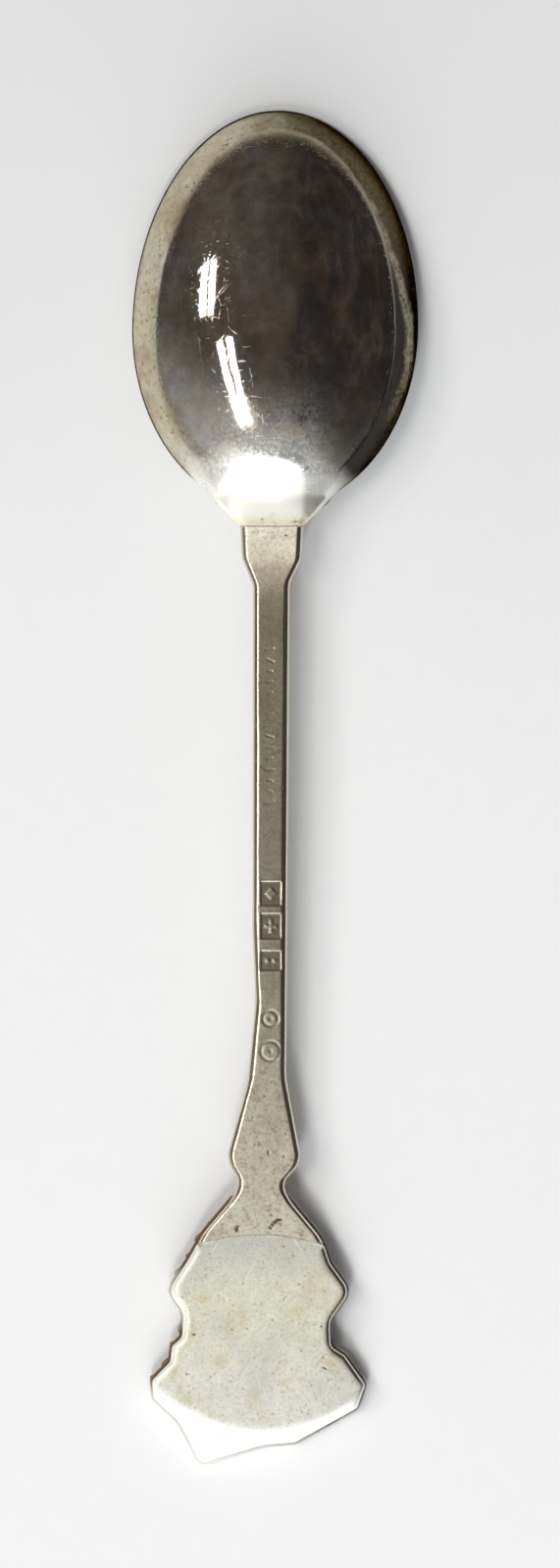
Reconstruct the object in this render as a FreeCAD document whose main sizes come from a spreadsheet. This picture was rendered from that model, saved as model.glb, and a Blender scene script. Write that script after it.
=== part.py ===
"""Souvenir spoon, lying face down as it rests on a table: +Y runs from the finial to the bowl's tip, and +Z is up,
through the backs of the bowl, the stem and the finial. The origin is under the middle of the spoon, on the table.

A struck bowl is silver-soldered to a flat stem. The stem flares into a tang, and a shaped finial plate is soldered
to the tang along a curved seam. A struck badge covers that seam from the front, and its cells hold vitreous enamel:
a ribbon, a lake, a meadow, a mountain and its snowfield.
"""

import FreeCAD, Part
import math
import os

from FreeCAD import Placement, Rotation, Vector

doc = FreeCAD.newDocument("souvenir_spoon")

# ---------------------------------------------------------------- driving dimensions, in millimetres and degrees

DIMENSIONS = {
    "overall_length": 115.0,
    "bowl_half_width": 12.13,
    "bowl_front_reach": 18.7,  # from the widest section to the tip
    "bowl_rear_reach": 15.7,  # from the widest section to the heel
    "bowl_height": 7.0,  # from the rim's plane to the top of the back
    "bowl_wall": 0.85,
    "rim_drop": 1.5,  # the surface would stand upright this far under the rim
    "bowl_tilt": 5.7,  # the heel stands higher than the tip
    "bowl_yaw": 1.3,  # the bowl's tip leans to the right of +Y
    "seam_y": 21.9,  # the solder joint between bowl and stem
    "solder_gap": 0.16,
    "heel_blend_radius": 30.0,  # the back sweeps up from the shoulder into the bowl
    "heel_crown_radius": 7.0,  # the neck of the bowl is rounded across
    "heel_flange_top": 4.35,
    "back_crest_y": 8.5,  # where the stem's back is level
    "back_arc_radius": 640.0,
    "heel_thickness": 1.75,
    "stem_thickness": 1.75,
    "plate_thickness": 1.1,
    "badge_thickness": 0.9,
    "badge_overhang": 0.22,  # how far the badge stands out past the plate
    "cell_depth": 0.45,
    "enamel_sink": 0.07,  # the enamel lies this far under the cell walls
    "flute_radius": 1.1,
    "flute_depth": 0.28,
    "neck_y": -33.6,  # the narrow neck between stem and finial
    "finial_axis_x": -1.33,  # the handle leans a little to one side
    "tang_seam_radius": 18.0,
    "tang_seam_top": 4.25,  # from the neck to the top of the curved seam
    "back_edge_round": 0.45,
    "hallmark_depth": 0.12,
}

sheet = doc.addObject("Spreadsheet::Sheet", "Dimensions")
for row, (alias, value) in enumerate(DIMENSIONS.items(), start=1):
    sheet.set(f"A{row}", alias)
    sheet.set(f"B{row}", str(value))
    sheet.setAlias(f"B{row}", alias)
doc.recompute()


def size(alias):
    """A driving dimension, as the sheet holds it."""
    return float(getattr(sheet, alias))


def bind(thing, prop, formula):
    """Ties a property to the sheet. A name in braces in the formula is one of its aliases."""
    for alias in DIMENSIONS:
        formula = formula.replace("{" + alias + "}", f"Dimensions.{alias}")
    thing.setExpression(prop, formula)


# ---------------------------------------------------------------- the arched back of the handle

TIP_Y = size("overall_length") / 2
END_Y = -TIP_Y
NECK_Y, SEAM_Y, CREST_Y = size("neck_y"), size("seam_y"), size("back_crest_y")
BACK_RADIUS = size("back_arc_radius")
BLEND_Y = 17.6  # the shoulder, where the sweep up to the bowl starts
HEEL_TOP_Y = 27.0  # the end of the bowl's neck, inside the bowl's back
FINIAL_THICKNESS = size("plate_thickness") + size("badge_thickness")

# From the neck on the back is flat, at the slope that the arch has there. The badge's far edge touches the table.
SLOPE = math.asin((CREST_Y - NECK_Y) / BACK_RADIUS)
NECK_Z = FINIAL_THICKNESS / math.cos(SLOPE) + (NECK_Y - END_Y) * math.tan(SLOPE)
CREST_Z = NECK_Z + BACK_RADIUS * (1 - math.cos(SLOPE))


def arch_z(y, under=0.0):
    """Height at y of the arched back, or of the surface that far under it."""
    radius = BACK_RADIUS - under
    return CREST_Z - BACK_RADIUS + math.sqrt(radius**2 - (y - CREST_Y) ** 2)


def flat_z(y, under=0.0):
    """Height at y of the finial's flat back, or of the plane that far under it."""
    return NECK_Z - under / math.cos(SLOPE) - (NECK_Y - y) * math.tan(SLOPE)


# ---------------------------------------------------------------- sketches and the solids made from them

TALL = 12.0  # more than the spoon's height
WIDE = 16.0  # more than half its width


def rounded(corners):
    """Line and arc edges of a closed outline, from its corners: x, y and the radius that rounds the corner."""
    points = [Vector(x, y, 0) for x, y, _ in corners]
    cuts = []
    for i, (_, _, radius) in enumerate(corners):
        here = points[i]
        back = (points[i - 1] - here).normalize()
        ahead = (points[(i + 1) % len(points)] - here).normalize()
        half = back.getAngle(ahead) / 2
        to_middle = (back + ahead).normalize()
        reach = radius / math.tan(half)
        bulge = here + to_middle * (radius / math.sin(half) - radius)
        cuts.append((here + back * reach, bulge, here + ahead * reach))
    edges = []
    for i, (start, bulge, end) in enumerate(cuts):
        edges.append(Part.LineSegment(cuts[i - 1][2], start))
        edges.append(Part.Arc(start, bulge, end))
    return edges


def polygon(points):
    """Line edges of a closed outline, from its corners."""
    return [Part.LineSegment(points[i - 1], points[i]) for i in range(len(points))]


def sketch(name, edges, placement=Placement()):
    made = doc.addObject("Sketcher::SketchObject", name)
    made.addGeometry(edges, False)
    made.Placement = placement
    return made


def prism(name, base, direction, forward, rearward):
    """A closed sketch, pushed both ways along a direction into a solid."""
    made = doc.addObject("Part::Extrusion", name)
    made.Base = base
    made.DirMode = "Custom"
    made.Dir = direction
    made.LengthFwd = forward
    made.LengthRev = rearward
    made.Solid = True
    return made


def plan_prism(name, corners):
    """An outline seen from above, as a solid taller than the spoon."""
    return prism(name, sketch(name + "Outline", rounded(corners)), Vector(0, 0, 1), TALL, 1.0)


def side_prism(name, edges):
    """An outline seen from the side, drawn in Y and Z, as a solid wider than the spoon."""
    upright = Placement(Vector(), Rotation(Vector(0, 1, 0), Vector(0, 0, 1), Vector(1, 0, 0), "ZXY"))
    return prism(name, sketch(name + "Profile", edges, upright), Vector(1, 0, 0), WIDE, WIDE)


def common(name, base, tool):
    made = doc.addObject("Part::Common", name)
    made.Base = base
    made.Tool = tool
    return made


def cut(name, base, tool):
    made = doc.addObject("Part::Cut", name)
    made.Base = base
    made.Tool = tool
    return made


def fuse(name, shapes):
    made = doc.addObject("Part::MultiFuse", name)
    made.Shapes = shapes
    return made


def block(name, length, width, height, centre_x, start_y, start_z):
    made = doc.addObject("Part::Box", name)
    made.Length = length
    made.Width = width
    made.Height = height
    made.Placement.Base = Vector(centre_x - length / 2, start_y, start_z)
    return made


def between(name, start_y, end_y):
    """Everything between two sections across the spoon."""
    return block(name, 2 * WIDE, end_y - start_y, TALL + 2, 0, start_y, -1)


# ---------------------------------------------------------------- outlines seen from the back

# The stem's right edge from the bowl to the neck, and its left edge back again, as (x, y, rounding).
STEM_RIGHT = [
    (3.2, HEEL_TOP_Y, 0.3),
    (2.35, 22.2, 2.0),
    (2.2, 19.2, 1.6),
    (1.22, 17.2, 1.6),
    (0.92, -24.6, 9.0),
    (2.25, -31.7, 2.0),
    (0.5, NECK_Y - 0.1, 1.0),
]
STEM_LEFT = [
    (-2.85, NECK_Y, 1.5),
    (-4.15, -31.5, 2.2),
    (-2.35, -25.0, 9.0),
    (-1.68, -18.2, 9.0),
    (-1.92, -12.0, 20.0),
    (-1.86, 17.0, 1.6),
    (-2.8, 19.3, 1.6),
    (-2.95, 22.4, 2.0),
    (-3.8, HEEL_TOP_Y, 0.3),
]

# The low web that joins the bowl's rim to its neck, as (x, y, rounding).
HEEL_FLANGE = [
    (2.35, SEAM_Y + size("solder_gap"), 0.02),
    (2.35, 22.3, 0.5),
    (4.6, 24.7, 0.6),
    (4.6, HEEL_TOP_Y, 0.4),
    (-5.4, HEEL_TOP_Y, 0.4),
    (-5.4, 24.7, 0.6),
    (-2.95, 22.3, 0.5),
    (-2.95, SEAM_Y + size("solder_gap"), 0.02),
]

# The finial's outline from right to left, as (offset from its axis, distance from the neck, rounding). Its far
# edge climbs to an off-centre peak.
FINIAL = [
    (5.5, 4.6, 5.0),
    (6.15, 6.6, 1.2),
    (7.95, 9.1, 1.5),
    (6.15, 11.7, 1.6),
    (6.25, 13.7, 0.5),
    (7.35, 14.4, 0.5),
    (9.2, 17.0, 0.8),
    (8.45, 19.2, 0.8),
    (3.1, 22.2, 0.9),
    (0.3, 22.45, 3.0),
    (-5.1, 24.11, 0.9),
    (-7.0, 20.4, 3.0),
    (-9.2, 18.3, 0.7),
    (-9.3, 16.6, 0.75),
    (-7.75, 15.0, 0.5),
    (-7.6, 13.7, 0.75),
    (-6.75, 12.9, 0.6),
    (-6.65, 10.9, 1.4),
    (-8.0, 9.1, 1.5),
    (-6.2, 6.3, 1.6),
    (-4.9, 4.0, 4.0),
]
BADGE_TOP = 1.0  # from the neck to the badge's upper edge


def on_finial(offset, distance, *rest):
    """A point given from the finial's axis and from the neck, in the spoon's own frame."""
    return (size("finial_axis_x") + offset, NECK_Y - distance, *rest)


def moved_in(corners, step):
    """A clockwise chain of corners moved inward by step. The two at its ends only give its direction."""
    moved = []
    for before, here, after in zip(corners, corners[1:], corners[2:]):
        along = Vector(here[0] - before[0], here[1] - before[1], 0).normalize()
        onward = Vector(after[0] - here[0], after[1] - here[1], 0).normalize()
        inward = Vector(along.y + onward.y, -along.x - onward.x, 0).normalize()
        reach = step / inward.dot(Vector(along.y, -along.x, 0))
        convex = along.cross(onward).z < 0
        radius = here[2] - step if convex else here[2] + step
        moved.append((here[0] + inward.x * reach, here[1] + inward.y * reach, radius))
    return moved


finial_edge = [on_finial(*corner) for corner in FINIAL]
plate_edge = moved_in([STEM_RIGHT[-1], *finial_edge, STEM_LEFT[0]], size("badge_overhang"))

# ---------------------------------------------------------------- the handle before it is parted


def handle_profile():
    """The back, flat at the finial, arched along the stem and swept up at the heel, and the face under it."""
    lean = -math.asin((BLEND_Y - CREST_Y) / BACK_RADIUS)
    sweep = size("heel_blend_radius")
    start_z = arch_z(BLEND_Y)
    centre = Vector(BLEND_Y - sweep * math.sin(lean), start_z + sweep * math.cos(lean), 0)
    top_lean = math.asin((HEEL_TOP_Y - centre.x) / sweep)

    def swept(angle):
        return centre + Vector(math.sin(angle), -math.cos(angle), 0) * sweep

    end = Vector(END_Y - 1, flat_z(END_Y - 1), 0)
    neck = Vector(NECK_Y, NECK_Z, 0)
    shoulder = Vector(BLEND_Y, start_z, 0)
    edges = [
        Part.LineSegment(end, neck),
        Part.Arc(neck, Vector(CREST_Y, CREST_Z, 0), shoulder),
        Part.Arc(shoulder, swept((lean + top_lean) / 2), swept(top_lean)),
    ]
    heel, shank, plate = size("heel_thickness"), size("stem_thickness"), size("plate_thickness")
    underside = [
        swept(top_lean),
        Vector(HEEL_TOP_Y, arch_z(SEAM_Y, heel), 0),
        Vector(SEAM_Y - 2, arch_z(SEAM_Y, heel), 0),
        Vector(BLEND_Y - 1.5, arch_z(BLEND_Y - 1.5, shank), 0),
        Vector(CREST_Y - 28, arch_z(CREST_Y - 28, shank), 0),
        Vector(NECK_Y, flat_z(NECK_Y, plate), 0),
        Vector(END_Y - 1, flat_z(END_Y - 1, plate), 0),
        end,
    ]
    return edges + [Part.LineSegment(a, b) for a, b in zip(underside, underside[1:])]


handle_plan = plan_prism("HandlePlan", STEM_RIGHT + plate_edge + STEM_LEFT)
handle_side = side_prism("HandleSide", handle_profile())
handle_blank = common("HandleBlank", handle_plan, handle_side)

# ---------------------------------------------------------------- bowl, with the neck that its heel is drawn into

TILT = math.radians(size("bowl_tilt"))
rim_turn = Rotation(Vector(0, 0, 1), -size("bowl_yaw")) * Rotation(Vector(1, 0, 0), -size("bowl_tilt"))
widest_y = TIP_Y - size("bowl_front_reach") * math.cos(TILT)
widest_z = size("bowl_front_reach") * math.sin(TILT)
rim_frame = Placement(Vector(0, widest_y, widest_z), rim_turn)  # in the rim's plane, at the widest section
RIM_SHARE = "sqrt(1 - ({rim_drop} / ({bowl_height} + {rim_drop}))^2)"  # the rim's size against the full ellipsoid


def half_dome(name, reach, inset, about, rim_only):
    """The front or rear half of the bowl's ellipsoid, down to the rim's plane or to its full width."""
    made = doc.addObject("Part::Ellipsoid", name)
    bind(made, "Radius1", "{bowl_height} + {rim_drop} - " + inset)
    bind(made, "Radius2", "{bowl_half_width} / " + RIM_SHARE + " - " + inset)
    bind(made, "Radius3", reach + " / " + RIM_SHARE + " - " + inset)
    made.Angle1 = 0
    made.Angle2 = 90
    made.Angle3 = 180
    if rim_only:
        bind(made, "Angle1", "asin({rim_drop} / ({bowl_height} + {rim_drop}))")
    turn = Rotation(Vector(0, 0, 1), about)
    made.Placement = rim_frame.multiply(Placement(Vector(0, 0, -size("rim_drop")), turn))
    return made


def dome(name, inset, rim_only):
    front = half_dome(name + "Front", "{bowl_front_reach}", inset, 0, rim_only)
    rear = half_dome(name + "Rear", "{bowl_rear_reach}", inset, 180, rim_only)
    return fuse(name, [front, rear])


dome_back = dome("DomeBack", "0", True)
dome_hollow = dome("DomeHollow", "{bowl_wall}", False)

# A long drum, tipped up with the sweep of the back, rounds the neck across.
sweep_rise = math.degrees(math.atan2(HEEL_TOP_Y - BLEND_Y, size("heel_blend_radius")) * 0.75)
heel_crown = doc.addObject("Part::Cylinder", "HeelCrown")
bind(heel_crown, "Radius", "{heel_crown_radius}")
heel_crown.Height = 20.0
crown_start = Vector(-0.3, SEAM_Y - 5, arch_z(SEAM_Y) + 0.45 - size("heel_crown_radius") - 1.15)
heel_crown.Placement = Placement(crown_start, Rotation(Vector(1, 0, 0), -90 + sweep_rise))

seam_far_side = SEAM_Y + size("solder_gap")
neck_blank = common("NeckBlank", handle_blank, between("BowlSideOfSeam", seam_far_side, HEEL_TOP_Y + 1))
neck = common("BowlNeck", neck_blank, heel_crown)
flange_plan = plan_prism("FlangePlan", HEEL_FLANGE)
flange_bottom = arch_z(SEAM_Y, size("heel_thickness"))
flange_height = size("heel_flange_top") - flange_bottom
flange_slab = block("FlangeSlab", 2 * WIDE, 2 * WIDE, flange_height, 0, 0, flange_bottom)
flange = common("HeelFlange", flange_plan, flange_slab)
bowl_solid = fuse("BowlSolid", [dome_back, neck, flange])
bowl = cut("Bowl", bowl_solid, dome_hollow)
bowl.Label = "bowl"

bowl_joint = common("BowlJoint", handle_blank, between("JointSlice", SEAM_Y, seam_far_side))
bowl_solder = common("BowlSolder", bowl_joint, heel_crown)
bowl_solder.Label = "bowl_solder_joint"

# ---------------------------------------------------------------- stem, with punched marks in its back

HALLMARK_X = -0.35
SQUARE_MARKS = [(-9.0, 2.07), (-11.75, 2.15), (-14.65, 1.66)]  # the middle along the stem, and the length
ROUND_MARKS = [(-19.55, 0.75), (-22.3, 0.95)]  # the middle along the stem, and the radius


def square_mark(name, y, length):
    return block(name, 1.7, length, 2.0, HALLMARK_X, y - length / 2, arch_z(y) - size("hallmark_depth"))


def round_mark(name, y, radius):
    made = doc.addObject("Part::Cylinder", name)
    made.Radius = radius
    made.Height = 2.0
    made.Placement.Base = Vector(HALLMARK_X, y, arch_z(y) - size("hallmark_depth"))
    return made


marks = [square_mark(f"SquareMark{i}", *mark) for i, mark in enumerate(SQUARE_MARKS, start=1)]
marks += [round_mark(f"RoundMark{i}", *mark) for i, mark in enumerate(ROUND_MARKS, start=1)]
all_marks = fuse("PunchedMarks", marks)

stem_and_plate = common("StemAndPlate", handle_blank, between("StemSideOfSeam", END_Y - 2, SEAM_Y))
doc.recompute()


def back_height(y):
    return flat_z(y) if y < NECK_Y else arch_z(y)


def back_edges(solid, last_y):
    """Numbers of the edges where the back meets the sides, up to a section of the handle."""
    found = []
    for number, edge in enumerate(solid.Shape.Edges, start=1):
        middle = edge.valueAt((edge.FirstParameter + edge.LastParameter) / 2)
        ends = [vertex.Point for vertex in edge.Vertexes]
        along_side = not (abs(ends[0].y - ends[-1].y) < 0.001 and edge.Length > 1.5)
        if abs(middle.z - back_height(middle.y)) < 0.005 and middle.y < last_y and along_side:
            found.append(number)
    return found


handle_round = doc.addObject("Part::Fillet", "HandleRounded")
handle_round.Base = stem_and_plate
radius = size("back_edge_round")
handle_round.Edges = [(number, radius, radius) for number in back_edges(stem_and_plate, BLEND_Y)]


def seam_drum(name, sign):
    """A drum whose wall is one side of the curved seam between tang and plate."""
    made = doc.addObject("Part::Cylinder", name)
    bind(made, "Radius", "{tang_seam_radius} " + sign + " {solder_gap} / 2")
    made.Height = TALL + 2
    made.Placement.Base = Vector(*on_finial(0.0, size("tang_seam_top") + size("tang_seam_radius"), -1))
    return made


drum_outer = seam_drum("TangSeamOuter", "+")
drum_inner = seam_drum("TangSeamInner", "-")
stem_blank = cut("StemBlank", handle_round, drum_outer)
stem = cut("Stem", stem_blank, all_marks)
stem.Label = "stem"

# ---------------------------------------------------------------- finial plate and its solder seam

finial_plate = common("FinialPlate", handle_round, drum_inner)
finial_plate.Label = "finial_plate"
solder_ring = cut("SolderRing", drum_outer, drum_inner)
finial_solder = common("FinialSolder", handle_round, solder_ring)
finial_solder.Label = "finial_solder_seam"

# ---------------------------------------------------------------- badge and its enamel

PLATE = size("plate_thickness")
CELL_FLOOR = FINIAL_THICKNESS - size("cell_depth")
ENAMEL_TOP = FINIAL_THICKNESS - size("enamel_sink")


def layer(name, nearer, farther):
    """Everything between two planes under the finial's flat back."""
    section = [
        Vector(NECK_Y, flat_z(NECK_Y, nearer), 0),
        Vector(END_Y - 1, flat_z(END_Y - 1, nearer), 0),
        Vector(END_Y - 1, flat_z(END_Y - 1, farther), 0),
        Vector(NECK_Y, flat_z(NECK_Y, farther), 0),
    ]
    return side_prism(name, polygon(section))


# Each cell's outline, as (offset from the finial's axis, distance from the neck, rounding).
CELLS = {
    "enamel_ribbon": [
        (6.5, 8.0, 0.5),
        (6.4, 10.3, 0.5),
        (2.0, 11.2, 4.0),
        (-2.0, 10.4, 4.0),
        (-6.4, 10.9, 0.5),
        (-6.7, 8.6, 0.5),
        (-2.0, 7.7, 4.0),
        (2.0, 8.6, 4.0),
    ],
    "enamel_lake": [
        (5.4, 11.0, 0.4),
        (5.4, 13.6, 0.4),
        (1.5, 14.1, 3.0),
        (-2.5, 13.5, 3.0),
        (-6.0, 14.0, 0.4),
        (-6.0, 11.4, 0.4),
        (-2.0, 10.95, 4.0),
        (2.0, 11.75, 4.0),
    ],
    "enamel_meadow": [
        (6.3, 14.2, 0.5),
        (8.2, 16.9, 0.5),
        (3.0, 17.3, 3.0),
        (-2.0, 16.5, 3.0),
        (-8.3, 17.1, 0.5),
        (-6.7, 14.5, 0.5),
        (-2.5, 14.05, 3.0),
        (1.5, 14.65, 3.0),
    ],
    "enamel_mountain": [
        (8.3, 17.5, 0.4),
        (7.7, 18.8, 0.4),
        (3.0, 21.3, 0.4),
        (0.9, 19.4, 0.3),
        (-0.4, 20.1, 0.3),
        (-1.9, 18.9, 0.3),
        (-3.4, 20.0, 0.3),
        (-4.7, 18.9, 0.3),
        (-6.6, 19.9, 0.3),
        (-8.4, 18.1, 0.3),
        (-8.4, 17.7, 0.2),
        (-2.0, 17.05, 3.0),
        (3.0, 17.85, 3.0),
    ],
    "enamel_snow": [
        (2.5, 21.5, 0.25),
        (0.2, 21.8, 2.0),
        (-4.8, 23.2, 0.5),
        (-6.2, 20.7, 0.3),
        (-4.7, 19.6, 0.3),
        (-3.4, 20.7, 0.3),
        (-1.9, 19.6, 0.3),
        (-0.4, 20.8, 0.3),
        (0.9, 20.1, 0.3),
    ],
}

FLUTE_ANGLES = [-38, -19, 0, 19, 38]  # the fan over the ribbon, from the middle of the neck
FLUTE_REACH = 6.6


def flute(name, angle):
    """One hollow groove of the fan, sunk into the badge's face."""
    made = doc.addObject("Part::Cylinder", name)
    bind(made, "Radius", "{flute_radius}")
    made.Height = FLUTE_REACH - 2.2
    turn = Rotation(Vector(0, 0, 1), angle)
    outward = turn.multVec(Vector(0, -1, 0))
    lift = size("flute_radius") - size("flute_depth")
    start_x, start_y = on_finial(0.0, 0.2)
    y = start_y + outward.y * 2.2
    base = Vector(start_x + outward.x * 2.2, y, flat_z(y, FINIAL_THICKNESS) - lift)
    lean = Vector(outward.x, outward.y, outward.y * math.tan(SLOPE))
    made.Placement = Placement(base, Rotation(Vector(0, 0, 1), lean))
    return made


badge_top = [on_finial(-2.37, BADGE_TOP, 0.4), on_finial(2.57, BADGE_TOP, 0.4)]
badge_plan = plan_prism("BadgePlan", finial_edge + badge_top)
badge_blank = common("BadgeBlank", badge_plan, layer("BadgeLayer", PLATE, FINIAL_THICKNESS))
cell_layer = layer("CellLayer", CELL_FLOOR, FINIAL_THICKNESS + 0.5)
enamel_layer = layer("EnamelLayer", CELL_FLOOR, ENAMEL_TOP)

pockets, enamels = [], []
for label, corners in CELLS.items():
    word = label.split("_")[1].capitalize()
    plan = plan_prism(word + "Cell", [on_finial(*corner) for corner in corners])
    pockets.append(common(word + "Pocket", plan, cell_layer))
    enamel = common(word + "Enamel", plan, enamel_layer)
    enamel.Label = label
    enamels.append(enamel)

flutes = [flute(f"FanFlute{i}", angle) for i, angle in enumerate(FLUTE_ANGLES, start=1)]
badge = cut("Badge", badge_blank, fuse("BadgeHollows", pockets + flutes))
badge.Label = "badge_frame"

# ---------------------------------------------------------------- check and write

doc.recompute()
for thing in doc.Objects:
    if "Invalid" in thing.State or "Error" in thing.State:
        raise SystemExit(f"{thing.Name} failed: {thing.State}")

os.makedirs("parts", exist_ok=True)
for thing in (bowl, bowl_solder, stem, finial_plate, finial_solder, badge, *enamels):
    shape = thing.Shape
    if shape.isNull() or not shape.isValid() or not shape.Solids:
        raise SystemExit(f"{thing.Label} has no valid solid")
    shape.exportStep(f"parts/{thing.Label}.step")
    box = shape.optimalBoundingBox()
    corners = [round(v, 2) for v in (box.XMin, box.YMin, box.ZMin, box.XMax, box.YMax, box.ZMax)]
    print(f"{thing.Label}: {len(shape.Solids)} solid, {shape.Volume:.2f} mm3, {corners}")
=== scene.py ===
"""Looks for the souvenir spoon, which lies face down. Smooth detailed meshes stand for its plain CAD solids.

Lengths are in millimetres, as on the part's drawing, and are scaled to metres when they are used.
Only the floor, the lights and the camera at the end are given in metres.
"""

import math

import bmesh
import bpy
import numpy as np
from mathutils import Matrix, Vector


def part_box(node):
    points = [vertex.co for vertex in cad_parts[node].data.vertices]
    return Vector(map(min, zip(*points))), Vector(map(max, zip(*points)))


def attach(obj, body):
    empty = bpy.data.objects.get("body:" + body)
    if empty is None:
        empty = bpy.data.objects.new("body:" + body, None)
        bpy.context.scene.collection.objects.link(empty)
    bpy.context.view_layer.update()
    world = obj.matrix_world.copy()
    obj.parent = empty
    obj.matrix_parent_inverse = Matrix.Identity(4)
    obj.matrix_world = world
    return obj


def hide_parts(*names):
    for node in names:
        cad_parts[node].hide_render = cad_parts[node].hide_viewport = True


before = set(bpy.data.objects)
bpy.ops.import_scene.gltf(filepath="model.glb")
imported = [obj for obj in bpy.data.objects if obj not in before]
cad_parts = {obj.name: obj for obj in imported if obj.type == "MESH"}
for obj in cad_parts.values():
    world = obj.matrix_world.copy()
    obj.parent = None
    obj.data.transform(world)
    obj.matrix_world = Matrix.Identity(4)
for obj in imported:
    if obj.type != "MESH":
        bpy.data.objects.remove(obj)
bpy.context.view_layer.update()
MM = 0.001


def box_mm(node):
    low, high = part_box(node)
    return low / MM, high / MM


# ---------------------------------------------------------------- the spoon's driving dimensions

BOWL_LOW, BOWL_HIGH = box_mm("bowl")
TIP_Y = BOWL_HIGH.y
END_Y = -TIP_Y
HALF_WIDTH = (BOWL_HIGH.x - BOWL_LOW.x) / 2
NECK_END_Y = BOWL_LOW.y  # the bowl's side of the solder joint
SEAM_Y = box_mm("stem")[1].y  # the stem's side of it
FRONT_REACH, REAR_REACH = 18.7, 15.7  # from the bowl's widest section to its tip and heel
DOME_HEIGHT, RIM_DROP, WALL = 8.5, 1.5, 0.85
TILT, YAW = math.radians(5.7), math.radians(1.3)

CREST_Y, ARCH_RADIUS = 8.5, 640.0
NECK_Y, AXIS_X = -33.6, -1.33
SHOULDER_Y, SWEEP_RADIUS = 17.6, 30.0
PLATE, BADGE = 1.1, 0.9
SLOPE = math.asin((CREST_Y - NECK_Y) / ARCH_RADIUS)
NECK_Z = (PLATE + BADGE) / math.cos(SLOPE) + (NECK_Y - END_Y) * math.tan(SLOPE)
CREST_Z = NECK_Z + ARCH_RADIUS * (1 - math.cos(SLOPE))
SEAM_RADIUS, SEAM_TOP, SEAM_GAP = 18.0, 4.25, 0.16


def arch_z(y):
    """Height of the plain arch that the handle follows, flat at the finial."""
    y = np.asarray(y, float)
    arch = CREST_Z - ARCH_RADIUS + np.sqrt(ARCH_RADIUS**2 - (y - CREST_Y) ** 2)
    return np.where(y < NECK_Y, NECK_Z - (NECK_Y - y) * math.tan(SLOPE), arch)


def sweep(run):
    """How far the sweep toward the heel has risen after a run."""
    return SWEEP_RADIUS - np.sqrt(SWEEP_RADIUS**2 - run**2)


def back_z(y):
    """Height of the handle's back: the arch, swept up at the heel."""
    return arch_z(y) + sweep(np.clip(np.asarray(y, float) - SHOULDER_Y, 0, 20))


def smooth_step(low, high, value):
    t = np.clip((np.asarray(value, float) - low) / (high - low), 0, 1)
    return t * t * (3 - 2 * t)


def smooth_max(a, b, reach):
    """The larger of two heights, with the crease between them filled over about that reach."""
    share = np.clip(0.5 + 0.5 * (a - b) / reach, 0, 1)
    return b + (a - b) * share + reach * share * (1 - share)


def edge_drop(inset, width, depth):
    """How far a rounded edge has fallen at a distance in from it."""
    gone = np.clip(1 - np.asarray(inset, float) / width, 0, 1)
    return depth * (1 - np.sqrt(np.clip(1 - gone**2, 0, 1)))


def waver(x, y, seed, wavelength):
    """Gentle irregular relief, mostly between -1 and 1, the same on every run."""
    rng = np.random.default_rng(seed)
    total = np.zeros(np.broadcast(x, y).shape)
    for _ in range(7):
        turn, phase = rng.uniform(0, 2 * math.pi, 2)
        pitch = 2 * math.pi / (wavelength * rng.uniform(0.7, 1.6))
        total = total + np.sin((x * math.cos(turn) + y * math.sin(turn)) * pitch + phase)
    return total / 4


# ---------------------------------------------------------------- meshes from loops


def make_piece(name, points, faces, replaces, marks=None):
    """A smooth closed mesh from points in millimetres. Marks hold a value per point for its material."""
    mesh = bpy.data.meshes.new(name)
    mesh.from_pydata((np.asarray(points) * MM).tolist(), [], faces)
    for key, values in (marks or {}).items():
        layer = mesh.attributes.new(key, "FLOAT", "POINT")
        layer.data.foreach_set("value", np.asarray(values, np.float32))
    work = bmesh.new()
    work.from_mesh(mesh)
    bmesh.ops.recalc_face_normals(work, faces=work.faces)
    for face in work.faces:
        face.smooth = True
    work.to_mesh(mesh)
    work.free()
    piece = bpy.data.objects.new(name, mesh)
    bpy.context.collection.objects.link(piece)
    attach(piece, "root")
    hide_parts(*replaces)
    return piece


def loft(loops):
    """Points and faces of a closed skin through loops of equal length, with a fan at each end."""
    loops = np.asarray(loops, float)
    count, around = loops.shape[:2]
    points = [loops.reshape(-1, 3), loops[0].mean(0)[None], loops[-1].mean(0)[None]]
    first, last = count * around, count * around + 1
    faces = []
    for i in range(count - 1):
        row = i * around
        for j in range(around):
            k = (j + 1) % around
            faces.append((row + j, row + k, row + around + k, row + around + j))
    end = (count - 1) * around
    for j in range(around):
        k = (j + 1) % around
        faces.append((first, k, j))
        faces.append((last, end + j, end + k))
    return np.concatenate(points), faces


def rounded_line(corners, pitch=0.12):
    """Points along a closed outline of straight runs and arcs, from its corners (x, y, radius)."""
    corners = [(Vector((x, y)), r) for x, y, r in corners]
    line = []
    for i, (here, radius) in enumerate(corners):
        back = (corners[i - 1][0] - here).normalized()
        ahead = (corners[(i + 1) % len(corners)][0] - here).normalized()
        half = back.angle(ahead) / 2
        reach = radius / math.tan(half)
        middle = here + (back + ahead).normalized() * (radius / math.sin(half))
        start, end = here + back * reach - middle, here + ahead * reach - middle
        turn = start.angle_signed(end)
        steps = max(3, int(abs(turn) * radius / pitch))
        for s in range(steps + 1):
            spin = Matrix.Rotation(-turn * s / steps, 2)
            line.append(middle + spin @ start)
    spread = []
    for a, b in zip(line, line[1:] + line[:1]):
        steps = max(1, int((b - a).length / pitch))
        spread += [a.lerp(b, s / steps) for s in range(steps)]
    return np.array(spread)


# ---------------------------------------------------------------- outlines seen from the back

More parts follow.
